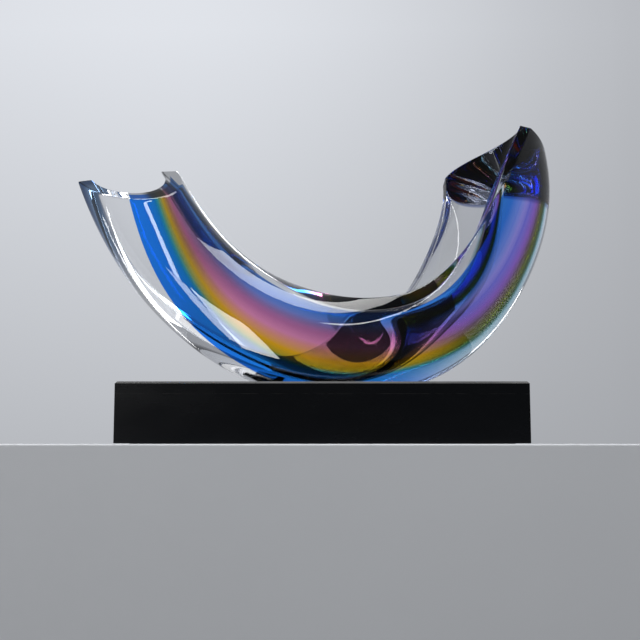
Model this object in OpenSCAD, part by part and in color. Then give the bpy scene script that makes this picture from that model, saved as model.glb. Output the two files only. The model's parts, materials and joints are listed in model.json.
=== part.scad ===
// Art glass arc on a black plinth.
// A thick glass tube is bent into an upward arc and opened along a slow spiral, so the wall
// covers the side nearest the viewer at the left end and the outer and far sides at the right.
// A sheet of six colours lies inside the clear glass. The ends are cut on a slant and the
// underside is ground flat, where a clear film bonds it to a lacquered box.
// X runs along the plinth, Y goes away from the viewer and Z is up. The origin is the middle
// of the plinth's underside.

/* [Glass arc] */
// Half the width of the bend, from the middle to the centreline of a limb
bend_half_width = 200; // [160:1:240]
// Rise of the centreline above its lowest point
bend_rise = 212; // [170:1:260]
// Outer radius of the glass section
section_radius = 55; // [45:1:66]
// Thickness of the glass at the foot, before grinding
foot_wall = 42; // [34:1:50]
// Width of the polished rim that faces the viewer
near_rim = 18; // [14:1:22]
// Width of the rim on the far side
far_rim = 17; // [13:1:21]
// Depth ground off under the arc to make its flat foot
foot_cut = 15.5; // [10:0.5:19]
// Tilt of the left end's cut, leaning towards the viewer
left_tilt = 38; // [30:1:46]
// Tilt of the right end's cut, leaning away from the viewer
right_tilt = 31; // [24:1:38]

/* [Colour sheet] */
// Thickness of the sheet of coloured glass inside the clear glass
sheet_thickness = 2.5; // [1.5:0.1:3.5]

/* [Bond] */
// Thickness of the clear film under the foot
bond_thickness = 0.5; // [0.3:0.1:1]

/* [Plinth] */
// Length of the plinth
plinth_length = 400; // [320:5:480]
// Depth of the plinth, front to back
plinth_depth = 140; // [126:2:180]
// Height of the plinth
plinth_height = 60; // [50:1:80]
// Thickness of the top and side boards
board_thickness = 12; // [9:0.5:15]
// Thickness of the bottom board
bottom_thickness = 9; // [7:0.5:12]
// How far the bottom board sits up inside the side boards
bottom_recess = 3; // [2.4:0.1:4]
// Chamfer round the top board
top_chamfer = 2; // [1:0.1:3]
// Side of each square block glued inside a corner
block_side = 22; // [17:1:26]
// Width of each batten that carries the top board
batten_width = 28; // [22:1:34]
// Distance between the centrelines of the two battens
batten_spacing = 110; // [90:5:130]

/* [Screws and felt] */
// Diameter of a screw's shank
screw_diameter = 4; // [3.2:0.1:5]
// Diameter of a screw's countersunk head
screw_head = 8; // [6.5:0.1:9.6]
// Length of a screw, head included
screw_length = 24; // [20:0.5:28]
// Thickness of the felt under the plinth
felt_thickness = 3.5; // [2.9:0.1:4.2]
// How far the felt's edge stays inside the side boards
felt_margin = 1; // [0.5:0.1:2]

/* [Hidden] */

// Levels of the foot, of the lowest point of the centreline and of the plinth's boards
foot_level = plinth_height + bond_thickness;
low_centre = foot_level + section_radius - foot_cut;
felt_proud = felt_thickness - bottom_recess;
bottom_level = felt_thickness;
bottom_top = bottom_level + bottom_thickness;
top_level = plinth_height - board_thickness;

// Stations along the centreline, from the left end to the right one. Places are shares of the
// bend's half width and rise, and widths are shares of the driving size that they follow. A
// smooth curve runs close by each table's values.
station_x_shares = [-1.115, -0.867, -0.603, -0.325, 0.06, 0.442, 0.684, 0.856, 0.93, 0.906, 0.85];
station_z_shares = [1, 0.53, 0.258, 0.077, -0.032, 0.055, 0.22, 0.493, 0.745, 0.942, 1.15];
radius_shares = [0.9, 0.965, 0.985, 1.01, 1.03, 1.035, 1.035, 1.035, 1.02, 1, 0.98];
wall_shares = [0.22, 0.33, 0.5, 0.85, 1.1, 1.05, 0.95, 1.2, 1.65, 1.77, 1.4];
near_rim_shares = [0.85, 0.9, 1.0, 1.2, 1.6, 1.6, 1.0, 0.42, 0.3, 0.28, 0.15];
far_rim_shares = [0.9, 0.7, 0.6, 0.86, 1.1, 1, 0.74, 0.48, 0.28, 0.24, 0.24];
skew_shares = [0, 0, 0, -0.08, -0.19, -0.2, 0, 0.08, 0.12, 0.11, 0.11];
// Angles round the section: 0 is the outside of the bend, -90 faces the viewer
near_edge_angles = [-190, -188, -182, -175, -156, -126, -116, -105, -97, -66, -10];
near_lean_angles = [0, 0, -6, -26, -20, 0, 8, -5, -10, -14, -18];
far_edge_angles = [-32, 6, 40, 74, 95, 118, 139, 151, 155, 154, 152];
far_lean_angles = [-4, -4, -2, 0, 4, 6, 9, 10, 9, 9, 11];
// How square the far side is: 1 is round
far_squareness = [1, 1, 1, 0.95, 0.9, 0.85, 0.8, 0.75, 0.7, 0.7, 0.7];

// The colour sheet: its depth as a share of the glass, and where its edges and the lines where
// one colour meets the next run, as shares of the way round from the near rim to the far rim
sheet_depth_shares = [0.5, 0.62, 0.7, 0.68, 0.6, 0.54, 0.42, 0.34, 0.27, 0.26, 0.3];
band_edge_shares = [
    [0.08, 0.08, 0.09, 0.04, 0.02],
    [0.20, 0.19, 0.18, 0.14, 0.14],
    [0.245, 0.25, 0.235, 0.20, 0.205],
    [0.31, 0.35, 0.325, 0.28, 0.26],
    [0.35, 0.45, 0.43, 0.325, 0.30],
    [0.39, 0.485, 0.475, 0.35, 0.32],
    [0.55, 0.68, 0.62, 0.38, 0.34]];

// Where the slanted end cuts cross the section's middle, as shares of the bend
left_cut_x_share = -1.04;
left_cut_z_share = 0.872;
left_cut_lean = -1.5;
right_cut_x_share = 0.9;
right_cut_z_share = 0.929;
// Shares of the way along the arc that lie inside both cuts
left_kept_share = 0.35;
right_kept_share = 0.65;

// Steps of the modelled surface
steps_along = 38;
steps_near = 3;
steps_band = 2;
steps_far = 6;
halvings = 14;
slope_step = 0.001;
screw_facets = 32;
// Lines of points round the section: the sheet lies between the first and the last
bands = len(band_edge_shares) - 1;
sheet_first = steps_near;
sheet_last = sheet_first + bands * steps_band;
lines_round = sheet_last + steps_far;

// A smooth curve close by a table's values, at share u of the way along it
function along(table, u) =
    let (last = len(table) - 1, place = min(max(u, 0), 1) * last,
        i = min(floor(place), last - 1), f = place - i, g = 1 - f,
        b = table[i], c = table[i + 1],
        a = i > 0 ? table[i - 1] : 2 * b - c,
        d = i + 2 <= last ? table[i + 2] : 2 * c - b)
    (a * g * g * g + b * (3 * f * f * f - 6 * f * f + 4)
        + c * (3 * g * g * g - 6 * g * g + 4) + d * f * f * f) / 6;

function centre(u) = [
    bend_half_width * along(station_x_shares, u),
    low_centre + bend_rise * along(station_z_shares, u)];

// The outward direction of the bend at u, in the XZ plane
function outward(u) =
    let (step = centre(u + slope_step) - centre(u - slope_step))
    [step.y, -step.x] / norm(step);

function power(value, squareness) = sign(value) * pow(abs(value), squareness);

// A point of a section at an angle and radius, with the far side squared
function section_point(angle, radius, squareness) =
    let (p = angle > 0 ? squareness : 1)
    radius * [power(cos(angle), p), power(sin(angle), p)];

// What a section needs: radius, two rim angles, squareness, the trough's two ends, the way
// from their middle to the outside, the trough's depth, its skew and the sheet's depth share
function section_at(u) =
    let (radius = section_radius * along(radius_shares, u),
        near = along(near_edge_angles, u), far = along(far_edge_angles, u),
        squareness = along(far_squareness, u),
        near_end = section_point(near + along(near_lean_angles, u),
            radius - near_rim * along(near_rim_shares, u), squareness),
        far_end = section_point(far + along(far_lean_angles, u),
            radius - far_rim * along(far_rim_shares, u), squareness),
        chord = (far_end - near_end) / norm(far_end - near_end),
        middle_angle = (near + far) / 2,
        side = [-chord.y, chord.x],
        out = side * [cos(middle_angle), sin(middle_angle)] < 0 ? -side : side,
        middle = (near_end + far_end) / 2,
        depth = radius - foot_wall * along(wall_shares, u) - middle * out)
    [radius, near, far, squareness, near_end, far_end, out, depth,
        section_radius * along(skew_shares, u), along(sheet_depth_shares, u)];

function skin_point(section, s) =
    section_point(section[1] + s * (section[2] - section[1]), section[0], section[3]);

function trough_point(section, s) =
    (section[4] + section[5]) / 2 - (section[5] - section[4]) / 2 * cos(180 * s)
    + section[6] * (section[7] * sin(180 * s) + section[8] * sin(360 * s));

// Layers through the glass: 0 the skin, 1 and 2 the two faces of the sheet, 3 the trough
function layer_point(section, s, layer) =
    let (skin = skin_point(section, s), trough = trough_point(section, s),
        sheet = section[9],
        share = [0, sheet, sheet + sheet_thickness / norm(trough - skin), 1][layer])
    skin + (trough - skin) * share;

// Shares of the way round the section of line number k, which drift along the arc as the
// sheet and its colours do
function band_edge(edge, u) =
    let (low = floor(edge), part = edge - low, high = min(low + 1, bands))
    along(band_edge_shares[low], u) * (1 - part) + along(band_edge_shares[high], u) * part;

function round_share(k, u) =
    k <= sheet_first ? band_edge(0, u) * k / steps_near
    : k <= sheet_last ? band_edge((k - sheet_first) / steps_band, u)
    : let (past = (k - sheet_last) / steps_far, edge = band_edge(bands, u))
        edge + (1 - edge) * past;

function glass_point(u, k, layer) =
    let (p = layer_point(section_at(u), round_share(k, u), layer), c = centre(u), o = outward(u))
    [c.x + p.x * o.x, p.y, c.y + p.x * o.y];

// The planes of the two end cuts, each as a point and a normal that leaves the glass
left_plane = [
    [bend_half_width * left_cut_x_share, 0, low_centre + bend_rise * left_cut_z_share],
    [-sin(left_cut_lean), -sin(left_tilt), cos(left_tilt)]];
right_plane = [
    [bend_half_width * right_cut_x_share, 0, low_centre + bend_rise * right_cut_z_share],
    [0, sin(right_tilt), cos(right_tilt)]];

function height_over(plane, u, k, layer) = (glass_point(u, k, layer) - plane[0]) * plane[1];

// Where a line of the glass meets an end cut, between a share that is kept and one that is not
function cut_share(plane, k, layer, kept, lost, n) =
    let (half = (kept + lost) / 2)
    n == 0 ? half
    : height_over(plane, half, k, layer) > 0 ? cut_share(plane, k, layer, kept, half, n - 1)
    : cut_share(plane, k, layer, half, lost, n - 1);

// One line of points along the glass, from cut to cut
function line_points(k, layer) =
    let (first = cut_share(left_plane, k, layer, left_kept_share, 0, halvings),
        last = cut_share(right_plane, k, layer, right_kept_share, 1, halvings))
    [for (i = [0:steps_along]) glass_point(first + (last - first) * i / steps_along, k, layer)];

// A closed solid between two runs of points round the section, each point a [line, layer]
// pair: one towards the skin, which may step from layer to layer, and one towards the trough.
// Every quad is split along the same diagonal whichever way the outline runs, so neighbours
// share their facets. Each end is a strip of triangles from run to run.
module glass_solid(skin_run, inside_layer) {
    first = skin_run[0][0];
    last = skin_run[len(skin_run) - 1][0];
    outline = concat(skin_run, [for (k = [last:-1:first]) [k, inside_layer]]);
    count = len(outline);
    lines = [for (pair = outline) line_points(pair[0], pair[1])];
    points = [for (i = [0:steps_along]) for (j = [0:count - 1]) lines[j][i]];
    sides = [for (i = [0:steps_along - 1]) for (j = [0:count - 1])
        let (next = (j + 1) % count, a = i * count + j, b = i * count + next,
            c = a + count, d = b + count,
            forward = outline[next][0] > outline[j][0]
                || (outline[next][0] == outline[j][0] && outline[next][1] > outline[j][1]))
        each forward ? [[a, b, d], [a, d, c]] : [[a, b, c], [b, d, c]]];
    strip = [for (j = [0:len(skin_run) - 2])
        let (a = j, b = j + 1, c = count - 1 - (outline[b][0] - first),
            d = count - 1 - (outline[a][0] - first))
        each c == d ? [[a, b, c]] : [[a, b, c], [a, c, d]]];
    last_ring = steps_along * count;
    first_cap = [for (t = strip) [t[2], t[1], t[0]]];
    last_cap = [for (t = strip) [last_ring + t[0], last_ring + t[1], last_ring + t[2]]];
    polyhedron(points, concat(sides, first_cap, last_cap), convexity = 8);
}

function run(first, last, layer) = [for (k = [first:last]) [k, layer]];

// All that lies under a level
module foot_waste(level) {
    reach = 2 * (bend_half_width + section_radius);
    translate([-reach, -reach, level - reach]) cube([2 * reach, 2 * reach, reach]);
}

module outer_outline() {
    glass_solid(run(0, lines_round, 0), 1);
}

module outer_casing() {
    color("lightcyan", 0.4) difference() {
        outer_outline();
        foot_waste(foot_level);
    }
}

module inner_casing() {
    color("aliceblue", 0.4) glass_solid(concat(run(0, sheet_first, 1),
        run(sheet_first, sheet_last, 2), run(sheet_last, lines_round, 1)), 3);
}

module colour_band(number) {
    first = sheet_first + number * steps_band;
    glass_solid(run(first, first + steps_band, 1), 2);
}

module cobalt_band() { color("royalblue") colour_band(0); }

module lavender_band() { color("mediumpurple") colour_band(1); }

module rose_band() { color("palevioletred") colour_band(2); }

module amber_band() { color("goldenrod") colour_band(3); }

module teal_band() { color("darkcyan") colour_band(4); }

module blue_band() { color("dodgerblue") colour_band(5); }

// The film takes the outline of the ground foot
module foot_bond() {
    color("gainsboro", 0.5) difference() {
        outer_outline();
        foot_waste(plinth_height);
        mirror([0, 0, 1]) foot_waste(-foot_level);
    }
}

// Top board, chamfered all round
module plinth_top() {
    color("black") hull() {
        translate([-plinth_length / 2, -plinth_depth / 2, top_level])
            cube([plinth_length, plinth_depth, board_thickness - top_chamfer]);
        translate([-plinth_length / 2 + top_chamfer, -plinth_depth / 2 + top_chamfer, top_level])
            cube([plinth_length - 2 * top_chamfer, plinth_depth - 2 * top_chamfer,
                board_thickness]);
    }
}

// A side board with mitred ends, its outer face along X at y = 0 and the box behind it
module side_board(length) {
    translate([0, 0, felt_proud]) linear_extrude(top_level - felt_proud)
        polygon([[-length / 2, 0], [length / 2, 0],
            [length / 2 - board_thickness, board_thickness],
            [-length / 2 + board_thickness, board_thickness]]);
}

module plinth_front() {
    color("black") translate([0, -plinth_depth / 2, 0]) side_board(plinth_length);
}

module plinth_back() {
    color("black") rotate([0, 0, 180]) translate([0, -plinth_depth / 2, 0])
        side_board(plinth_length);
}

module plinth_left() {
    color("black") rotate([0, 0, -90]) translate([0, -plinth_length / 2, 0])
        side_board(plinth_depth);
}

module plinth_right() {
    color("black") rotate([0, 0, 90]) translate([0, -plinth_length / 2, 0])
        side_board(plinth_depth);
}

inner_length = plinth_length - 2 * board_thickness;
inner_depth = plinth_depth - 2 * board_thickness;
block_x = inner_length / 2 - block_side / 2;
block_y = inner_depth / 2 - block_side / 2;
// Every screw's place: one under each corner block and two under each batten
screw_places = concat(
    [for (x = [-block_x, block_x]) for (y = [-block_y, block_y]) [x, y]],
    [for (x = [-batten_spacing / 2, batten_spacing / 2]) for (y = [-block_y, block_y]) [x, y]]);
head_depth = (screw_head - screw_diameter) / 2;

// Countersunk screws, heads down, which are also the holes that take them
module screw_forms() {
    for (place = screw_places) translate([place.x, place.y, bottom_level]) {
        cylinder(d1 = screw_head, d2 = screw_diameter, h = head_depth, $fn = screw_facets);
        cylinder(d = screw_diameter, h = screw_length, $fn = screw_facets);
    }
}

module plinth_bottom() {
    color("burlywood") difference() {
        translate([-inner_length / 2, -inner_depth / 2, bottom_level])
            cube([inner_length, inner_depth, bottom_thickness]);
        screw_forms();
    }
}

module corner_blocks() {
    color("tan") difference() {
        for (x = [-block_x, block_x]) for (y = [-block_y, block_y])
            translate([x - block_side / 2, y - block_side / 2, bottom_top])
                cube([block_side, block_side, top_level - bottom_top]);
        screw_forms();
    }
}

module top_battens() {
    color("tan") difference() {
        for (x = [-batten_spacing / 2, batten_spacing / 2])
            translate([x - batten_width / 2, -inner_depth / 2, bottom_top])
                cube([batten_width, inner_depth, top_level - bottom_top]);
        screw_forms();
    }
}

module bottom_screws() {
    color("silver") screw_forms();
}

module felt_sheet() {
    color("dimgray")
        translate([-inner_length / 2 + felt_margin, -inner_depth / 2 + felt_margin, 0])
        cube([inner_length - 2 * felt_margin, inner_depth - 2 * felt_margin, felt_thickness]);
}

outer_casing();
inner_casing();
cobalt_band();
lavender_band();
rose_band();
amber_band();
teal_band();
blue_band();
foot_bond();
plinth_top();
plinth_front();
plinth_back();
plinth_left();
plinth_right();
plinth_bottom();
corner_blocks();
top_battens();
bottom_screws();
felt_sheet();
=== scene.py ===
import json
import math

import bmesh
import bpy
from mathutils import Matrix, Vector

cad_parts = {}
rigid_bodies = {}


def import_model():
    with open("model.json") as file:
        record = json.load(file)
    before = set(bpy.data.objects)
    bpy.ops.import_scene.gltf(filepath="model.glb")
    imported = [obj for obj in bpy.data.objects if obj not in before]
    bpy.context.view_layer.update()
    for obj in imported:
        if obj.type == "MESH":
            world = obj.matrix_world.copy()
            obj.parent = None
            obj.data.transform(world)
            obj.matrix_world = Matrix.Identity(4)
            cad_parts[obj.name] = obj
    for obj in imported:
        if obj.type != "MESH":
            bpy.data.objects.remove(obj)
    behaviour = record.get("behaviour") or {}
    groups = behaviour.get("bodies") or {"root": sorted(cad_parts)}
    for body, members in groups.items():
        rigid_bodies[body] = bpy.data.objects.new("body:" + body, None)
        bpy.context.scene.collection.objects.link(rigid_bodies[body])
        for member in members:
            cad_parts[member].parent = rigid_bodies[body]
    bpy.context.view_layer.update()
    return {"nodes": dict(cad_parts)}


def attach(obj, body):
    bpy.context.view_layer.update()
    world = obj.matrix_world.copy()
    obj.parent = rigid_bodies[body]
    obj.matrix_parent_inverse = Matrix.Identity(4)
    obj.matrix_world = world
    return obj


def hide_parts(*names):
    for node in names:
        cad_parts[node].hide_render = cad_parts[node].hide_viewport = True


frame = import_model()
scene = bpy.context.scene
millimetre = 0.001


# Shape of the bent glass. The tables run from the left end to the right one, and the shares
# follow the sizes above them, as the CAD solids do.
arc = {
    "halfWidth": 0.200,
    "rise": 0.212,
    "lowCentre": 0.100,
    "sectionRadius": 0.055,
    "wall": 0.042,
    "nearRim": 0.018,
    "farRim": 0.017,
    "footLevel": 0.0605,
    "xShares": (-1.115, -0.867, -0.603, -0.325, 0.06, 0.442, 0.684, 0.856, 0.93, 0.906, 0.85),
    "zShares": (1, 0.53, 0.258, 0.077, -0.032, 0.055, 0.22, 0.493, 0.745, 0.942, 1.15),
    "radiusShares": (0.9, 0.965, 0.985, 1.01, 1.03, 1.035, 1.035, 1.035, 1.02, 1, 0.98),
    "wallShares": (0.22, 0.33, 0.5, 0.85, 1.1, 1.05, 0.95, 1.2, 1.65, 1.77, 1.4),
    "nearRimShares": (0.85, 0.9, 1.0, 1.2, 1.6, 1.6, 1.0, 0.42, 0.3, 0.28, 0.15),
    "farRimShares": (0.9, 0.7, 0.6, 0.86, 1.1, 1, 0.74, 0.48, 0.28, 0.24, 0.24),
    "skewShares": (0, 0, 0, -0.08, -0.19, -0.2, 0, 0.08, 0.12, 0.11, 0.11),
    "nearEdgeAngles": (-190, -188, -182, -175, -156, -126, -116, -105, -97, -66, -10),
    "nearLeanAngles": (0, 0, -6, -26, -20, 0, 8, -5, -10, -14, -18),
    "farEdgeAngles": (-32, 6, 40, 74, 95, 118, 139, 151, 155, 154, 152),
    "farLeanAngles": (-4, -4, -2, 0, 4, 6, 9, 10, 9, 9, 11),
    "farSquareness": (1, 1, 1, 0.95, 0.9, 0.85, 0.8, 0.75, 0.7, 0.7, 0.7),
    "slopeStep": 0.001,
    "cutHalvings": 16,
}

def endCut(acrossShare, heightShare, lean, tilt, kept, lost):
    # a flat cut through a point on the arc: lean turns it sideways and tilt to the back, in
    # degrees, and kept and lost are places along the glass on either side of it
    lean, tilt = math.radians(lean), math.radians(tilt)
    return {
        "point": Vector((acrossShare * arc["halfWidth"], 0,
                         arc["lowCentre"] + heightShare * arc["rise"])),
        "normal": Vector((math.sin(lean), math.sin(tilt), math.cos(tilt))),
        "kept": kept,
        "lost": lost,
    }


leftCut = endCut(acrossShare=-1.04, heightShare=0.872, lean=1.5, tilt=-38, kept=0.35, lost=0.0)
rightCut = endCut(acrossShare=0.9, heightShare=0.929, lean=0, tilt=31, kept=0.65, lost=1.0)


def along(table, u):
    # a smooth curve close by the table's values
    last = len(table) - 1
    place = min(max(u, 0), 1) * last
    i = min(int(place), last - 1)
    f = place - i
    g = 1 - f
    b, c = table[i], table[i + 1]
    a = table[i - 1] if i > 0 else 2 * b - c
    d = table[i + 2] if i + 2 <= last else 2 * c - b
    return (a * g ** 3 + b * (3 * f ** 3 - 6 * f * f + 4)
            + c * (3 * g ** 3 - 6 * g * g + 4) + d * f ** 3) / 6


def centreAt(u):
    return Vector((arc["halfWidth"] * along(arc["xShares"], u),
                   arc["lowCentre"] + arc["rise"] * along(arc["zShares"], u)))


def outwardAt(u):
    step = centreAt(u + arc["slopeStep"]) - centreAt(u - arc["slopeStep"])
    return Vector((step.y, -step.x)).normalized()


def sectionPoint(angle, radius, squareness):
    p = squareness if angle > 0 else 1
    c, s = math.cos(math.radians(angle)), math.sin(math.radians(angle))
    return radius * Vector((math.copysign(abs(c) ** p, c), math.copysign(abs(s) ** p, s)))


def sectionAt(u):
    radius = arc["sectionRadius"] * along(arc["radiusShares"], u)
    near, far = along(arc["nearEdgeAngles"], u), along(arc["farEdgeAngles"], u)
    squareness = along(arc["farSquareness"], u)
    nearEnd = sectionPoint(near + along(arc["nearLeanAngles"], u),
                           radius - arc["nearRim"] * along(arc["nearRimShares"], u), squareness)
    farEnd = sectionPoint(far + along(arc["farLeanAngles"], u),
                          radius - arc["farRim"] * along(arc["farRimShares"], u), squareness)
    chord = (farEnd - nearEnd).normalized()
    out = Vector((-chord.y, chord.x))
    middleAngle = math.radians((near + far) / 2)
    if out.dot(Vector((math.cos(middleAngle), math.sin(middleAngle)))) < 0:
        out = -out
    middle = (nearEnd + farEnd) / 2
    depth = radius - arc["wall"] * along(arc["wallShares"], u) - middle.dot(out)
    skew = arc["sectionRadius"] * along(arc["skewShares"], u)
    return radius, near, far, squareness, nearEnd, farEnd, out, depth, skew


def glassPoint(u, s, through):
    # s goes round from the near rim to the far rim, through from the skin to the trough
    radius, near, far, squareness, nearEnd, farEnd, out, depth, skew = sectionAt(u)
    skin = sectionPoint(near + s * (far - near), radius, squareness)
    trough = ((nearEnd + farEnd) / 2 - (farEnd - nearEnd) / 2 * math.cos(math.pi * s)
              + out * (depth * math.sin(math.pi * s) + skew * math.sin(2 * math.pi * s)))
    if callable(through):
        through = through((trough - skin).length)
    p = skin + (trough - skin) * through
    c, o = centreAt(u), outwardAt(u)
    return Vector((c.x + p.x * o.x, p.y, c.y + p.x * o.y))


def cutShare(cut, pointAt, inset):
    # where a line of the glass meets an end cut
    kept, lost = cut["kept"], cut["lost"]
    for halving in range(arc["cutHalvings"]):
        half = (kept + lost) / 2
        if (pointAt(half) - cut["point"]).dot(cut["normal"]) > -inset:
            lost = half
        else:
            kept = half
    return (kept + lost) / 2


def eased(share, steps, edge):
    # even steps, but for a narrow one at each end that keeps the edge crisp
    i = round(share * steps)
    if i in (0, steps):
        return i / steps
    return edge + (1 - 2 * edge) * (i - 1) / (steps - 2)


def shareBox(stepsAlong, stepsAcross, stepsThrough):
    # a closed box of quads in shares: x along, y across and z through
    bm = bmesh.new()
    bmesh.ops.create_grid(bm, x_segments=stepsAlong, y_segments=stepsAcross, size=0.5)
    bmesh.ops.translate(bm, vec=(0.5, 0.5, 0), verts=bm.verts)
    grown = bmesh.ops.extrude_face_region(bm, geom=bm.faces[:], use_keep_orig=True)
    bmesh.ops.translate(bm, vec=(0, 0, 1),
                        verts=[g for g in grown["geom"] if isinstance(g, bmesh.types.BMVert)])
    if stepsThrough > 1:
        uprights = [e for e in bm.edges if abs(e.verts[0].co.z - e.verts[1].co.z) > 0.5]
        bmesh.ops.subdivide_edges(bm, edges=uprights, cuts=stepsThrough - 1)
    return bm


def finishMesh(bm, name, materials, smooth=True):
    bmesh.ops.recalc_face_normals(bm, faces=bm.faces)
    if bm.calc_volume(signed=True) < 0:
        bmesh.ops.reverse_faces(bm, faces=bm.faces)
    mesh = bpy.data.meshes.new(name)
    for face in bm.faces:
        face.smooth = smooth
    bm.to_mesh(mesh)
    bm.free()
    piece = bpy.data.objects.new(name, mesh)
    scene.collection.objects.link(piece)
    for material in materials:
        mesh.materials.append(material)
    return piece


def addSubdivision(piece, levels):
    smoother = piece.modifiers.new("smooth", "SUBSURF")
    smoother.levels = levels
    smoother.render_levels = levels
    return smoother


# Materials
def newMaterial(name):
    material = bpy.data.materials.new(name)
    material.use_nodes = True
    shader = material.node_tree.nodes["Principled BSDF"]
    return material, material.node_tree.nodes, material.node_tree.links, shader


def newGroup(name, given, made):
    # an effect with named inputs and outputs, placed in a material by placeGroup
    group = bpy.data.node_groups.new(name, "ShaderNodeTree")
    for title, value in given.items():
        kind = "NodeSocketVector" if isinstance(value, tuple) else "NodeSocketFloat"
        socket = group.interface.new_socket(title, in_out="INPUT", socket_type=kind)
        socket.default_value = value
    for title in made:
        group.interface.new_socket(title, in_out="OUTPUT", socket_type="NodeSocketFloat")
    nodes, links = group.nodes, group.links
    return group, nodes, links, nodes.new("NodeGroupInput"), nodes.new("NodeGroupOutput")


def placeGroup(nodes, group, **values):
    placed = nodes.new("ShaderNodeGroup")
    placed.node_tree = group
    for title, value in values.items():
        placed.inputs[title].default_value = value
    return placed.outputs[0]


def mapRange(nodes, links, value, start, full, low=0, high=1, smooth=False):
    # each limit is a number or another node's output
    spread = nodes.new("ShaderNodeMapRange")
    if smooth:
        spread.interpolation_type = "SMOOTHSTEP"
    limits = {"From Min": start, "From Max": full, "To Min": low, "To Max": high}
    for title, limit in limits.items():
        if isinstance(limit, (int, float)):
            spread.inputs[title].default_value = limit
        else:
            links.new(limit, spread.inputs[title])
    links.new(value, spread.inputs["Value"])
    return spread.outputs["Result"]


def joinValues(nodes, links, operation, first, second):
    joined = nodes.new("ShaderNodeMath")
    joined.operation = operation
    links.new(first, joined.inputs[0])
    links.new(second, joined.inputs[1])
    return joined.outputs[0]


# Where each pattern starts and where it is full
patternLimits = {
    "cloud": (0.3, 0.7),
    "speck": (0.52, 0.68),
    "edge": (0.995, 0.9),
    "break": (0.4, 0.62),
}


def makeSoftPatches():
    # cloudy patches that run from a low value to a high one
    group, nodes, links, given, result = newGroup(
        "softPatches", {"Scale": 40.0, "Stretch": (1, 1, 1), "Detail": 4.0, "Low": 0.0,
                        "High": 1.0}, ("Value",))
    place = nodes.new("ShaderNodeTexCoord")
    stretched = nodes.new("ShaderNodeVectorMath")
    stretched.operation = "MULTIPLY"
    links.new(place.outputs["Object"], stretched.inputs[0])
    links.new(given.outputs["Stretch"], stretched.inputs[1])
    noise = nodes.new("ShaderNodeTexNoise")
    links.new(given.outputs["Detail"], noise.inputs["Detail"])
    links.new(stretched.outputs["Vector"], noise.inputs["Vector"])
    links.new(given.outputs["Scale"], noise.inputs["Scale"])
    patches = mapRange(nodes, links, noise.outputs["Fac"], *patternLimits["cloud"],
                       low=given.outputs["Low"], high=given.outputs["High"])
    links.new(patches, result.inputs["Value"])
    return group


def makeUpwardFaces():
    # a mask of the faces that look up
    group, nodes, links, given, result = newGroup(
        "upwardFaces", {"Start": 0.4, "Full": 0.9}, ("Mask",))
    facing = nodes.new("ShaderNodeNewGeometry")
    split = nodes.new("ShaderNodeSeparateXYZ")
    links.new(facing.outputs["Normal"], split.inputs[0])
    upward = mapRange(nodes, links, split.outputs["Z"], given.outputs["Start"],
                      given.outputs["Full"])
    links.new(upward, result.inputs["Mask"])
    return group


def makeSettledDust():
    # fine specks for faces turned upwards
    group, nodes, links, given, result = newGroup(
        "settledDust", {"Scale": 900.0, "Cover": 0.1}, ("Mask",))
    place = nodes.new("ShaderNodeTexCoord")
    specks = nodes.new("ShaderNodeTexNoise")
    specks.inputs["Detail"].default_value = 3
    links.new(place.outputs["Object"], specks.inputs["Vector"])
    links.new(given.outputs["Scale"], specks.inputs["Scale"])
    sparse = mapRange(nodes, links, specks.outputs["Fac"], *patternLimits["speck"],
                      high=given.outputs["Cover"])
    both = joinValues(nodes, links, "MULTIPLY", sparse, placeGroup(nodes, upwardFaces))
    links.new(both, result.inputs["Mask"])
    return group


def makeEdgeRub():
    # edges worn by handling, broken up along their length
    group, nodes, links, given, result = newGroup(
        "edgeRub", {"Radius": 0.0006, "Amount": 0.5}, ("Mask",))
    rounded = nodes.new("ShaderNodeBevel")
    rounded.samples = 6
    links.new(given.outputs["Radius"], rounded.inputs["Radius"])
    facing = nodes.new("ShaderNodeNewGeometry")
    likeness = nodes.new("ShaderNodeVectorMath")
    likeness.operation = "DOT_PRODUCT"
    links.new(rounded.outputs["Normal"], likeness.inputs[0])
    links.new(facing.outputs["Normal"], likeness.inputs[1])
    edge = mapRange(nodes, links, likeness.outputs["Value"], *patternLimits["edge"],
                    high=given.outputs["Amount"])
    place = nodes.new("ShaderNodeTexCoord")
    uneven = nodes.new("ShaderNodeTexNoise")
    uneven.inputs["Scale"].default_value = 120
    uneven.inputs["Detail"].default_value = 5
    links.new(place.outputs["Object"], uneven.inputs["Vector"])
    broken = mapRange(nodes, links, uneven.outputs["Fac"], *patternLimits["break"])
    links.new(joinValues(nodes, links, "MULTIPLY", edge, broken), result.inputs["Mask"])
    return group


softPatches = makeSoftPatches()
upwardFaces = makeUpwardFaces()
settledDust = makeSettledDust()
edgeRub = makeEdgeRub()


def blendColours(nodes, links, share, first, second):
    # each colour is a plain one or another node's output
    mix = nodes.new("ShaderNodeMix")
    mix.data_type = "RGBA"
    links.new(share, mix.inputs["Factor"])
    for title, colour in (("A", first), ("B", second)):
        if isinstance(colour, tuple):
            mix.inputs[title].default_value = (*colour, 1)
        else:
            links.new(colour, mix.inputs[title])
    return mix.outputs["Result"]


def smoothStep(nodes, links, value, start, full):
    return mapRange(nodes, links, value, start, full, smooth=True)


def addBump(nodes, links, shader, height, depth):
    bump = nodes.new("ShaderNodeBump")
    bump.inputs["Strength"].default_value = 1
    bump.inputs["Distance"].default_value = depth
    links.new(height, bump.inputs["Height"])
    links.new(bump.outputs["Normal"], shader.inputs["Normal"])


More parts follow.
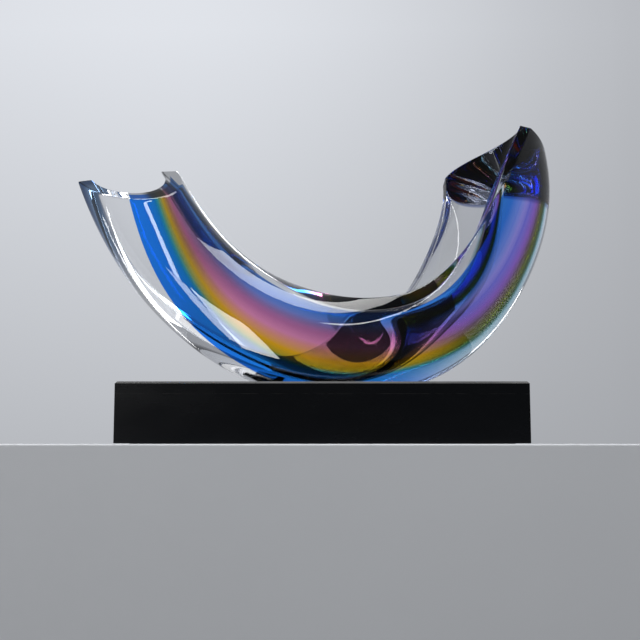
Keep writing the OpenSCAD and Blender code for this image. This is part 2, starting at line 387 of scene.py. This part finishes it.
clearFinish = {
    "palest": (0.988, 0.993, 1.0),
    "deepest": (0.978, 0.985, 0.996),
    # slow waves left by the polishing
    "waveScale": 26,
    "waveDepth": 0.00002,
    "index": 1.52,
    # light that runs a long way inside comes out dimmer
    "depthColour": (0.52, 0.55, 0.64),
    "depthDensity": 4.0,
    # painted shade: a dark blue mixed into the glass colour on the far side of the pointed left
    # end
    "paintedTipShade": (0.05, 0.12, 0.28),
    "paintedTipShadeAcross": (0.84, 0.94),
    "paintedTipShadeAlong": (0.17, 0.07),
    # painted shade: a dark blue mixed into the glass colour just behind the right end's cut
    "paintedCapShade": (0.13, 0.17, 0.38),
    "paintedCapShadeAlong": (0.988, 0.999),
    "ground": ((0.30, 0.31, 0.33), (0.24, 0.25, 0.27)),
    "groundRoughness": 0.6,
}


def clearGlass():
    material, nodes, links, shader = newMaterial("clearGlass")
    tint = placeGroup(nodes, softPatches, Scale=14, Detail=1)
    colour = blendColours(nodes, links, tint, clearFinish["palest"], clearFinish["deepest"])
    across, lengthwise = (nodes.new("ShaderNodeAttribute") for side in range(2))
    across.attribute_name = "across"
    lengthwise.attribute_name = "lengthwise"
    # painted shade: dark blue mixed into the glass colour towards the far side of the pointed left
    # end
    paintedShadeFarSide = smoothStep(nodes, links, across.outputs["Fac"], *clearFinish["paintedTipShadeAcross"])
    nearEnd = smoothStep(nodes, links, lengthwise.outputs["Fac"], *clearFinish["paintedTipShadeAlong"])
    paintedTipShadeMask = joinValues(nodes, links, "MULTIPLY", paintedShadeFarSide, nearEnd)
    colour = blendColours(nodes, links, paintedTipShadeMask, colour, clearFinish["paintedTipShade"])
    # painted shade: dark blue mixed into the glass colour just behind the right end's cut
    paintedCapShadeMask = smoothStep(nodes, links, lengthwise.outputs["Fac"], *clearFinish["paintedCapShadeAlong"])
    links.new(blendColours(nodes, links, paintedCapShadeMask, colour, clearFinish["paintedCapShade"]),
              shader.inputs["Base Color"])
    waves = placeGroup(nodes, softPatches, Scale=clearFinish["waveScale"], Detail=0)
    addBump(nodes, links, shader, waves, clearFinish["waveDepth"])
    shader.inputs["Roughness"].default_value = 0
    shader.inputs["IOR"].default_value = clearFinish["index"]
    shader.inputs["Transmission Weight"].default_value = 1
    depth = nodes.new("ShaderNodeVolumeAbsorption")
    depth.inputs["Color"].default_value = (*clearFinish["depthColour"], 1)
    depth.inputs["Density"].default_value = clearFinish["depthDensity"]
    links.new(depth.outputs["Volume"], nodes["Material Output"].inputs["Volume"])
    return material


def bondedFoot():
    # the ground foot, seen from inside the glass through the clear bond
    material, nodes, links, shader = newMaterial("bondedFoot")
    cloud = placeGroup(nodes, softPatches, Scale=60)
    links.new(blendColours(nodes, links, cloud, *clearFinish["ground"]),
              shader.inputs["Base Color"])
    shader.inputs["Roughness"].default_value = clearFinish["groundRoughness"]
    shader.inputs["Specular IOR Level"].default_value = 0.0
    return material


# What the colour sheet lets through, from its near edge to its far one: at the left end, in the
# bend and in the right limb
sheetColours = {
    "leftEnd": (
        (0.00, (0.15, 0.28, 0.50)),
        (0.06, (0.04, 0.22, 0.62)),
        (0.17, (0.06, 0.17, 0.40)),
        (0.27, (0.18, 0.15, 0.33)),
        (0.36, (0.32, 0.16, 0.31)),
        (0.44, (0.45, 0.14, 0.26)),
        (0.52, (0.44, 0.22, 0.08)),
        (0.59, (0.56, 0.36, 0.02)),
        (0.66, (0.20, 0.36, 0.16)),
        (0.72, (0.04, 0.32, 0.36)),
        (0.80, (0.01, 0.24, 0.56)),
        (0.90, (0.015, 0.24, 0.92)),
        (1.00, (0.02, 0.26, 0.97)),
    ),
    "bend": (
        (0.00, (0.05, 0.22, 0.65)),
        (0.08, (0.05, 0.28, 0.88)),
        (0.18, (0.22, 0.31, 0.78)),
        (0.28, (0.36, 0.22, 0.50)),
        (0.37, (0.62, 0.20, 0.44)),
        (0.46, (0.93, 0.32, 0.55)),
        (0.52, (0.96, 0.38, 0.26)),
        (0.60, (0.98, 0.50, 0.01)),
        (0.68, (0.50, 0.42, 0.03)),
        (0.75, (0.05, 0.30, 0.26)),
        (0.82, (0.01, 0.22, 0.60)),
        (1.00, (0.02, 0.22, 0.92)),
    ),
    "rightLimb": (
        (0.00, (0.06, 0.32, 0.96)),
        (0.09, (0.05, 0.26, 0.92)),
        (0.17, (0.22, 0.34, 0.92)),
        (0.26, (0.36, 0.32, 0.88)),
        (0.34, (0.22, 0.20, 0.78)),
        (0.43, (0.30, 0.13, 0.58)),
        (0.51, (0.16, 0.09, 0.14)),
        (0.58, (0.10, 0.10, 0.01)),
        (0.67, (0.05, 0.10, 0.01)),
        (0.77, (0.03, 0.14, 0.10)),
        (0.85, (0.30, 0.52, 0.58)),
        (1.00, (0.85, 0.93, 1.0)),
    ),
    # where one row of colours goes over into the next, from the left end to the right one
    "bendFrom": 0.08,
    "bendFull": 0.26,
    "rightFrom": 0.46,
    "rightFull": 0.64,
}


def addRamp(nodes, links, value, stops, interpolation="LINEAR"):
    # each stop is a place and either a grey tone or a colour
    ramp = nodes.new("ShaderNodeValToRGB")
    ramp.color_ramp.interpolation = interpolation
    while len(ramp.color_ramp.elements) < len(stops):
        ramp.color_ramp.elements.new(0.5)
    for element, (place, colour) in zip(ramp.color_ramp.elements, stops):
        element.position = place
        element.color = (*colour, 1) if isinstance(colour, tuple) else (colour, colour, colour, 1)
    links.new(value, ramp.inputs["Fac"])
    return ramp.outputs["Color"]


def colourSheet(name):
    material, nodes, links, shader = newMaterial(name)
    across, lengthwise = (nodes.new("ShaderNodeAttribute") for side in range(2))
    across.attribute_name = "across"
    lengthwise.attribute_name = "lengthwise"
    colour = addRamp(nodes, links, across.outputs["Fac"], sheetColours["leftEnd"])
    for row, start, full in (("bend", "bendFrom", "bendFull"),
                             ("rightLimb", "rightFrom", "rightFull")):
        turn = smoothStep(nodes, links, lengthwise.outputs["Fac"], sheetColours[start],
                          sheetColours[full])
        colour = blendColours(nodes, links, turn, colour,
                              addRamp(nodes, links, across.outputs["Fac"], sheetColours[row]))
    links.new(colour, shader.inputs["Base Color"])
    shader.inputs["Roughness"].default_value = 0
    shader.inputs["IOR"].default_value = 1.0
    shader.inputs["Transmission Weight"].default_value = 1
    return material


# The clear glass
body = {
    "stepsAlong": 72,
    "stepsAcross": 34,
    "stepsThrough": 4,
    "edgeAlong": 0.0035,
    "edgeAcross": 0.014,
    "edgeThrough": 0.14,
    "subdivisions": 2,
    # only the ground foot's face has more corners than this
    "cornersAtMost": 8,
}


def makeGlassBody():
    bm = shareBox(body["stepsAlong"], body["stepsAcross"], body["stepsThrough"])
    across = bm.verts.layers.float.new("across")
    lengthwise = bm.verts.layers.float.new("lengthwise")
    ends = {}
    for vert in bm.verts:
        t = eased(vert.co.x, body["stepsAlong"], body["edgeAlong"])
        s = eased(vert.co.y, body["stepsAcross"], body["edgeAcross"])
        w = eased(vert.co.z, body["stepsThrough"], body["edgeThrough"])
        key = (round(s, 5), round(w, 5))
        if key not in ends:
            pointAt = lambda u: glassPoint(u, s, w)
            ends[key] = cutShare(leftCut, pointAt, 0), cutShare(rightCut, pointAt, 0)
        first, last = ends[key]
        vert[across], vert[lengthwise] = s, t
        vert.co = glassPoint(first + (last - first) * t, s, w)
    rough = finishMesh(bm, "glassRough", [])
    addSubdivision(rough, body["subdivisions"])
    bpy.context.view_layer.update()
    smoothed = rough.evaluated_get(bpy.context.evaluated_depsgraph_get())
    bm = bmesh.new()
    bm.from_mesh(smoothed.to_mesh())
    bpy.data.objects.remove(rough)
    # grind the foot flat
    sliced = bmesh.ops.bisect_plane(
        bm, geom=bm.verts[:] + bm.edges[:] + bm.faces[:], dist=1e-6,
        plane_co=(0, 0, arc["footLevel"]), plane_no=(0, 0, -1), clear_outer=True)
    footEdges = [e for e in sliced["geom_cut"] if isinstance(e, bmesh.types.BMEdge)]
    bmesh.ops.edgeloop_fill(bm, edges=footEdges)
    piece = finishMesh(bm, "glass_arc", [clearGlass(), bondedFoot()])
    for polygon in piece.data.polygons:
        if len(polygon.vertices) > body["cornersAtMost"]:
            polygon.material_index = 1
            polygon.use_smooth = False
    return piece


glassBody = makeGlassBody()
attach(glassBody, "root")
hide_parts("outer_casing", "inner_casing")
print("glass body:", len(glassBody.data.polygons), "faces")


# The colour sheet: six bands of one thin film, which run into each other
sheet = {
    "stepsAlong": 64,
    "stepsAcross": 4,
    "thickness": 2.5 * millimetre,
    "film": 0.3 * millimetre,
    "inset": 0.3 * millimetre,
    "depthShares": (0.5, 0.62, 0.7, 0.68, 0.6, 0.54, 0.42, 0.34, 0.27, 0.26, 0.3),
    "edgeShares": (
        # where the bands meet, near edge first, each from the left end to the right one
        (0.08, 0.08, 0.09, 0.04, 0.02),
        (0.20, 0.19, 0.18, 0.14, 0.14),
        (0.245, 0.25, 0.235, 0.20, 0.205),
        (0.31, 0.35, 0.325, 0.28, 0.26),
        (0.35, 0.45, 0.43, 0.325, 0.30),
        (0.39, 0.485, 0.475, 0.35, 0.32),
        (0.55, 0.68, 0.62, 0.38, 0.34),
    ),
    "bands": ("cobalt", "lavender", "rose", "amber", "teal", "blue"),
}


def roundShare(edge, u):
    low = min(int(edge), len(sheet["bands"]) - 1)
    part = edge - low
    lowShare, highShare = (along(sheet["edgeShares"][i], u) for i in (low, low + 1))
    return lowShare * (1 - part) + highShare * part


def sheetPoint(u, edge, side):
    # side is 0 on the film's outer face and 1 on its inner face
    offset = sheet["thickness"] / 2 + (side - 0.5) * sheet["film"]
    share = along(sheet["depthShares"], u)
    return glassPoint(u, roundShare(edge, u), lambda depth: share + offset / depth)


def makeBand(number, colour):
    bm = shareBox(sheet["stepsAlong"], sheet["stepsAcross"], 1)
    across = bm.verts.layers.float.new("across")
    lengthwise = bm.verts.layers.float.new("lengthwise")
    ends = {}
    for vert in bm.verts:
        t, edge, side = vert.co.x, number + vert.co.y, vert.co.z
        key = (round(edge, 4), round(side))
        if key not in ends:
            pointAt = lambda u: sheetPoint(u, edge, side)
            ends[key] = (cutShare(leftCut, pointAt, sheet["inset"]),
                         cutShare(rightCut, pointAt, sheet["inset"]))
        first, last = ends[key]
        vert[across] = edge / len(sheet["bands"])
        vert[lengthwise] = t
        vert.co = sheetPoint(first + (last - first) * t, edge, side)
    return finishMesh(bm, colour + "_film", [colourSheet(colour + "Glass")])


for number, colour in enumerate(sheet["bands"]):
    band = makeBand(number, colour)
    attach(band, "root")
    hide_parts(colour + "_band")
print("colour sheet: six bands")


# The plinth
plinthFinish = {
    "lacquer": (0.0035, 0.004, 0.005),
    "rubbedEdge": (0.030, 0.029, 0.028),
    "dust": (0.16, 0.16, 0.17),
    "lacquerGloss": (0.20, 0.30),
    "fibre": ((0.33, 0.24, 0.15), (0.42, 0.31, 0.20)),
    "rubbedFibre": (0.50, 0.38, 0.26),
    "softwood": ((0.62, 0.46, 0.28), (0.44, 0.29, 0.15)),
    "steel": ((0.66, 0.66, 0.68), (0.50, 0.50, 0.53)),
    "felt": ((0.010, 0.010, 0.011), (0.034, 0.034, 0.036)),
    "bond": ((0.016, 0.017, 0.019), (0.026, 0.027, 0.030)),
}


def blackLacquer():
    # satin at the sides and polished on top
    material, nodes, links, shader = newMaterial("blackLacquer")
    worn = placeGroup(nodes, edgeRub, Radius=0.0007, Amount=0.6)
    dusty = placeGroup(nodes, settledDust, Scale=1400, Cover=0.12)
    colour = blendColours(nodes, links, worn, plinthFinish["lacquer"],
                          plinthFinish["rubbedEdge"])
    links.new(blendColours(nodes, links, dusty, colour, plinthFinish["dust"]),
              shader.inputs["Base Color"])
    glossy, dull = plinthFinish["lacquerGloss"]
    gloss = placeGroup(nodes, softPatches, Scale=30, Stretch=(0.4, 1, 1), Low=glossy, High=dull)
    links.new(gloss, shader.inputs["Roughness"])
    peel = placeGroup(nodes, softPatches, Scale=700)
    addBump(nodes, links, shader, peel, 0.00001)
    shader.inputs["Specular IOR Level"].default_value = 0.2
    links.new(placeGroup(nodes, upwardFaces, Start=0.9, Full=0.99), shader.inputs["Coat Weight"])
    shader.inputs["Coat IOR"].default_value = 1.7
    shader.inputs["Coat Roughness"].default_value = 0.08
    return material


def fibreBoard():
    material, nodes, links, shader = newMaterial("fibreBoard")
    fibres = placeGroup(nodes, softPatches, Scale=1500, Stretch=(0.5, 0.5, 1))
    worn = placeGroup(nodes, edgeRub, Radius=0.001, Amount=0.7)
    colour = blendColours(nodes, links, fibres, *plinthFinish["fibre"])
    links.new(blendColours(nodes, links, worn, colour, plinthFinish["rubbedFibre"]),
              shader.inputs["Base Color"])
    shader.inputs["Roughness"].default_value = 0.85
    addBump(nodes, links, shader, fibres, 0.00005)
    return material


def softwood():
    # growth lines that run along the piece
    material, nodes, links, shader = newMaterial("softwood")
    place = nodes.new("ShaderNodeTexCoord")
    turned = nodes.new("ShaderNodeMapping")
    turned.inputs["Rotation"].default_value = (math.radians(24), 0, 0)
    turned.inputs["Scale"].default_value = (0.06, 1, 1)
    links.new(place.outputs["Object"], turned.inputs["Vector"])
    lines = nodes.new("ShaderNodeTexWave")
    lines.bands_direction = "Z"
    lines.inputs["Scale"].default_value = 70
    lines.inputs["Distortion"].default_value = 5
    lines.inputs["Detail"].default_value = 3
    links.new(turned.outputs["Vector"], lines.inputs["Vector"])
    pores = placeGroup(nodes, softPatches, Scale=900, Stretch=(0.05, 1, 1), Low=0.8)
    grain = joinValues(nodes, links, "MULTIPLY", lines.outputs["Fac"], pores)
    links.new(blendColours(nodes, links, grain, *plinthFinish["softwood"]),
              shader.inputs["Base Color"])
    shader.inputs["Roughness"].default_value = 0.7
    addBump(nodes, links, shader, grain, 0.00006)
    return material


def screwSteel():
    material, nodes, links, shader = newMaterial("screwSteel")
    spangle = placeGroup(nodes, softPatches, Scale=700)
    links.new(blendColours(nodes, links, spangle, *plinthFinish["steel"]),
              shader.inputs["Base Color"])
    links.new(placeGroup(nodes, softPatches, Scale=1200, Stretch=(1, 0.2, 1), Low=0.28, High=0.45),
              shader.inputs["Roughness"])
    shader.inputs["Metallic"].default_value = 1
    return material


def blackFelt():
    material, nodes, links, shader = newMaterial("blackFelt")
    fibres = placeGroup(nodes, softPatches, Scale=1600, Stretch=(1, 0.35, 1))
    crossing = placeGroup(nodes, softPatches, Scale=1900, Stretch=(0.35, 1, 1))
    pile = joinValues(nodes, links, "MULTIPLY", fibres, crossing)
    links.new(blendColours(nodes, links, pile, *plinthFinish["felt"]),
              shader.inputs["Base Color"])
    shader.inputs["Roughness"].default_value = 0.95
    shader.inputs["Sheen Weight"].default_value = 0.25
    addBump(nodes, links, shader, pile, 0.0003)
    return material


def clearBond():
    material, nodes, links, shader = newMaterial("clearBond")
    cloud = placeGroup(nodes, softPatches, Scale=90)
    links.new(blendColours(nodes, links, cloud, *plinthFinish["bond"]),
              shader.inputs["Base Color"])
    links.new(placeGroup(nodes, softPatches, Scale=300, Low=0.3, High=0.5),
              shader.inputs["Roughness"])
    return material


def dressNodes(material, *names):
    for name in names:
        frame["nodes"][name].data.materials.clear()
        frame["nodes"][name].data.materials.append(material)


dressNodes(blackLacquer(), "plinth_top", "plinth_front", "plinth_back", "plinth_left",
           "plinth_right")
dressNodes(fibreBoard(), "plinth_bottom")
dressNodes(softwood(), "corner_blocks", "top_battens")
dressNodes(screwSteel(), "bottom_screws")
dressNodes(blackFelt(), "felt_sheet")
dressNodes(clearBond(), "foot_bond")
print("plinth: materials set")


# The stage: a pale shelf and a light backdrop
stage = {
    "shelfFront": -0.090,
    "shelfBack": 0.2,
    "shelfHalfWidth": 1.6,
    "shelfDrop": 0.9,
    "edgeRound": 0.0018,
    "edgeSegments": 4,
    "backdropY": 1.8,
    "backdropHalfWidth": 1.5,
    "backdropTop": 2.6,
    "shelfTones": ((0.64, 0.655, 0.68), (0.62, 0.635, 0.66)),
}

# The backdrop's light, from left to right, low down and high up
backdrop = {
    "tint": (0.91, 0.94, 1.0),
    "reach": 1.0,
    "height": 1.2,
    "lowTones": ((0.0, 0.52), (0.3, 0.54), (0.6, 0.47), (0.9, 0.41)),
    "highTones": ((0.0, 0.79), (0.27, 0.84), (0.5, 0.78), (0.72, 0.665), (0.92, 0.53)),
}


def shelfPaint():
    material, nodes, links, shader = newMaterial("shelfPaint")
    shade = placeGroup(nodes, softPatches, Scale=5)
    links.new(blendColours(nodes, links, shade, *stage["shelfTones"]),
              shader.inputs["Base Color"])
    links.new(placeGroup(nodes, softPatches, Scale=80, Low=0.62, High=0.78),
              shader.inputs["Roughness"])
    addBump(nodes, links, shader, placeGroup(nodes, softPatches, Scale=1200), 0.00003)
    return material


def makeShelf():
    bm = bmesh.new()
    bmesh.ops.create_cube(bm, size=1)
    bmesh.ops.scale(bm, vec=(2 * stage["shelfHalfWidth"],
                             stage["shelfBack"] - stage["shelfFront"], stage["shelfDrop"]),
                    verts=bm.verts)
    bmesh.ops.translate(bm, vec=(0, (stage["shelfBack"] + stage["shelfFront"]) / 2,
                                 -stage["shelfDrop"] / 2), verts=bm.verts)
    edges = [e for e in bm.edges
             if all(v.co.z > -stage["shelfDrop"] / 2 and v.co.y < 0 for v in e.verts)]
    bmesh.ops.bevel(bm, geom=edges, offset=stage["edgeRound"], segments=stage["edgeSegments"],
                    affect="EDGES", profile=0.5, material=-1)
    return finishMesh(bm, "shelf", [shelfPaint()], smooth=False)


def backdropPaint():
    material, nodes, links, shader = newMaterial("backdropPaint")
    shader.inputs["Base Color"].default_value = (*backdrop["tint"], 1)
    shader.inputs["Roughness"].default_value = 0.9
    place = nodes.new("ShaderNodeTexCoord")
    split = nodes.new("ShaderNodeSeparateXYZ")
    links.new(place.outputs["Object"], split.inputs[0])
    sideways = mapRange(nodes, links, split.outputs["X"], -backdrop["reach"], backdrop["reach"])
    rise = mapRange(nodes, links, split.outputs["Z"], 0, backdrop["height"])
    low, high = (addRamp(nodes, links, sideways, backdrop[row], "B_SPLINE")
                 for row in ("lowTones", "highTones"))
    tone = blendColours(nodes, links, rise, low, high)
    emission = nodes.new("ShaderNodeEmission")
    emission.inputs["Color"].default_value = (*backdrop["tint"], 1)
    links.new(tone, emission.inputs["Strength"])
    path = nodes.new("ShaderNodeLightPath")
    seen = path.outputs["Is Camera Ray"]
    for kind in ("Is Glossy Ray", "Is Transmission Ray"):
        seen = joinValues(nodes, links, "MAXIMUM", seen, path.outputs[kind])
    mix = nodes.new("ShaderNodeMixShader")
    links.new(seen, mix.inputs[0])
    links.new(shader.outputs[0], mix.inputs[1])
    links.new(emission.outputs[0], mix.inputs[2])
    links.new(mix.outputs[0], nodes["Material Output"].inputs["Surface"])
    return material


def makeBackdrop():
    bm = bmesh.new()
    bmesh.ops.create_grid(bm, x_segments=2, y_segments=2, size=1)
    bmesh.ops.rotate(bm, cent=(0, 0, 0), verts=bm.verts,
                     matrix=Matrix.Rotation(math.radians(90), 3, "X"))
    bmesh.ops.scale(bm, vec=(stage["backdropHalfWidth"], 1, stage["backdropTop"] / 2),
                    verts=bm.verts)
    bmesh.ops.translate(bm, vec=(0, stage["backdropY"], stage["backdropTop"] / 2),
                        verts=bm.verts)
    return finishMesh(bm, "backdrop", [backdropPaint()])


makeShelf()
makeBackdrop()
print("stage: shelf and backdrop")


# The studio around it
studio = {
    "frontTone": 0.10,
    # light from behind at and above the horizon, then from below it, both from left to right
    "backTones": ((0.0, 0.30), (0.5, 0.30), (0.7, 0.42), (1.0, 0.45)),
    "underTones": ((0.0, 0.38), (0.46, 0.38), (0.51, 0.03), (0.66, 0.03), (0.73, 0.45),
                   (1.0, 0.45)),
    # where one light goes over into the next, in parts of a direction one long
    "horizon": (-0.12, 0),
    "frontToBack": (-0.5, 0.5),
    "frontToRight": (0.35, 0.8),
    "seenTone": 0.6,
}


def makeWorld():
    world = bpy.data.worlds.new("studio")
    scene.world = world
    world.use_nodes = True
    nodes, links = world.node_tree.nodes, world.node_tree.links
    place = nodes.new("ShaderNodeTexCoord")
    split = nodes.new("ShaderNodeSeparateXYZ")
    links.new(place.outputs["Generated"], split.inputs[0])
    sideways = mapRange(nodes, links, split.outputs["X"], -1, 1)
    under, above = (addRamp(nodes, links, sideways, studio[row])
                    for row in ("underTones", "backTones"))
    height = smoothStep(nodes, links, split.outputs["Z"], *studio["horizon"])
    behind = blendColours(nodes, links, height, under, above)
    reach = joinValues(
        nodes, links, "MAXIMUM",
        smoothStep(nodes, links, split.outputs["Y"], *studio["frontToBack"]),
        smoothStep(nodes, links, split.outputs["X"], *studio["frontToRight"]))
    front = (studio["frontTone"],) * 3
    around = blendColours(nodes, links, reach, front, behind)
    path = nodes.new("ShaderNodeLightPath")
    seen = (studio["seenTone"],) * 3
    background = nodes["Background"]
    background.inputs["Color"].default_value = (*backdrop["tint"], 1)
    links.new(blendColours(nodes, links, path.outputs["Is Camera Ray"], around, seen),
              background.inputs["Strength"])


# Each lamp's start and end, its width in metres, its power in watts and, for one, its aim
lamps = {
    "overheadSoftbox": ((-0.7, -0.15, 1.5), (0.7, -0.15, 1.5), 0.8, 22),
    "leftBackSoftbox": ((-1.25, 0.1, -0.03), (-0.5, 0.85, -0.38), 0.2, 6),
    "upperStrip": ((0.05, -0.85, 0.86), (-0.60, -0.93, 0.05), 0.035, 1.3),
    "lowerStrip": ((-0.62, -0.93, 0.05), (-0.60, -0.60, -0.58), 0.12, 2.0),
    # cards that only show as reflections in the glass, low in front and behind the right edge
    "frontCard": ((-0.42, -0.98, 0.03), (-0.38, -0.14, -0.88), 0.22, 9),
    "rightCard": ((0.74, 0.82, 0.11), (0.58, 0.78, -0.36), 0.14, 0.9),
    "rightLowCard": ((0.62, 0.70, -0.42), (0.56, 0.40, -0.72), 0.14, 1.2),
    # a small card that lies on the plinth behind the left foot and brightens the glass above it
    "footCard": ((-0.205, 0.042, 0.0612), (-0.055, 0.042, 0.0612), 0.052, 0.02,
                 (-0.13, 0.042, 1)),
    "frontFill": ((-0.9, -1.9, 1.3), (0.9, -1.9, 1.3), 1.2, 22),
}
glassCards = ("frontCard", "rightCard", "rightLowCard")
hiddenFrom = {
    "diffuse": ("upperStrip", "lowerStrip", "footCard") + glassCards,
    "glossy": ("footCard", "frontFill"),
    "transmission": ("frontFill",) + glassCards,
}


def addSoftbox(name, start, end, width, power, aim=(0, 0, 0.15)):
    # a lamp panel from start to end, turned towards the glass or another aim
    start, end = Vector(start), Vector(end)
    middle = (start + end) / 2
    lengthways = (end - start).normalized()
    back = middle - Vector(aim)
    back = (back - lengthways * back.dot(lengthways)).normalized()
    light = bpy.data.lights.new(name, "AREA")
    light.shape = "RECTANGLE"
    light.size, light.size_y = width, (end - start).length
    light.energy = power
    lamp = bpy.data.objects.new(name, light)
    turn = Matrix((lengthways.cross(back), lengthways, back)).transposed()
    lamp.matrix_world = Matrix.Translation(middle) @ turn.to_4x4()
    lamp.visible_camera = False
    scene.collection.objects.link(lamp)
    return lamp


makeWorld()
panels = {name: addSoftbox(name, *values) for name, values in lamps.items()}
for kind, names in hiddenFrom.items():
    for name in names:
        setattr(panels[name], "visible_" + kind, False)
glassAlone = bpy.data.collections.new("glassAlone")
glassAlone.objects.link(glassBody)
for name in glassCards:
    panels[name].light_linking.receiver_collection = glassAlone

view = {
    "lens": 57.6,
    "sensor": 36,
    "place": (-0.00215, -1.0569, 0),
    "upwards": 6.9,
}
camera = bpy.data.objects.new("camera", bpy.data.cameras.new("camera"))
camera.data.lens = view["lens"]
camera.data.sensor_width = view["sensor"]
camera.location = view["place"]
camera.rotation_euler = (math.radians(90 + view["upwards"]), 0, 0)
scene.collection.objects.link(camera)
scene.camera = camera
scene.view_settings.view_transform = "Standard"
scene.cycles.max_bounces = 40
scene.cycles.transmission_bounces = 32
scene.cycles.glossy_bounces = 24
scene.cycles.transparent_max_bounces = 24
print("lights and camera set")
